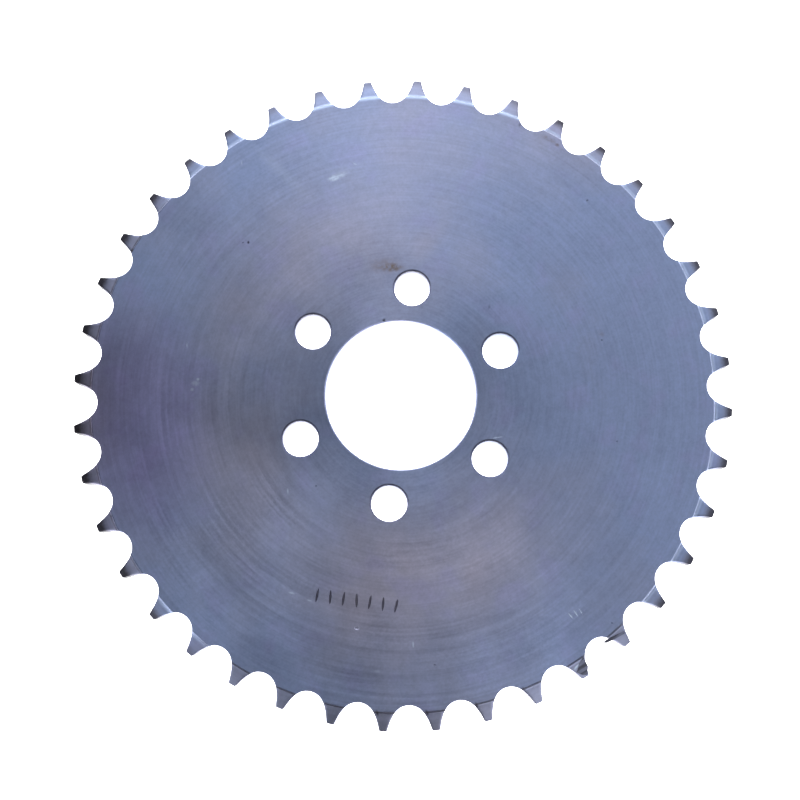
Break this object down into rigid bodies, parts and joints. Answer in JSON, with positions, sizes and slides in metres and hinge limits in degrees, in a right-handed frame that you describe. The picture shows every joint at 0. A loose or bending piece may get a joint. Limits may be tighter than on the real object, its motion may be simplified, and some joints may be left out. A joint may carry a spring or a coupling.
{
  "type": "motorcycle rear sprocket",
  "caption": "Flat steel chain sprocket with a round centre bore, a circle of bolt holes and relieved teeth all round its rim.",
  "frame": {"origin": "on the spin axis, in the plane of the back face that sits on the wheel hub", "axes": "+Z along the spin axis, out of the front face; +X through the middle of a tooth and of a bolt hole"},
  "size_m": [0.166, 0.166, 0.007],
  "materials": {
    "turned_steel": "bare steel, turned in fine rings about the bore, dull with light handling marks"
  },
  "bodies": {
    "root": {"sprocket_plate": "turned_steel"}
  },
  "joints": []
}
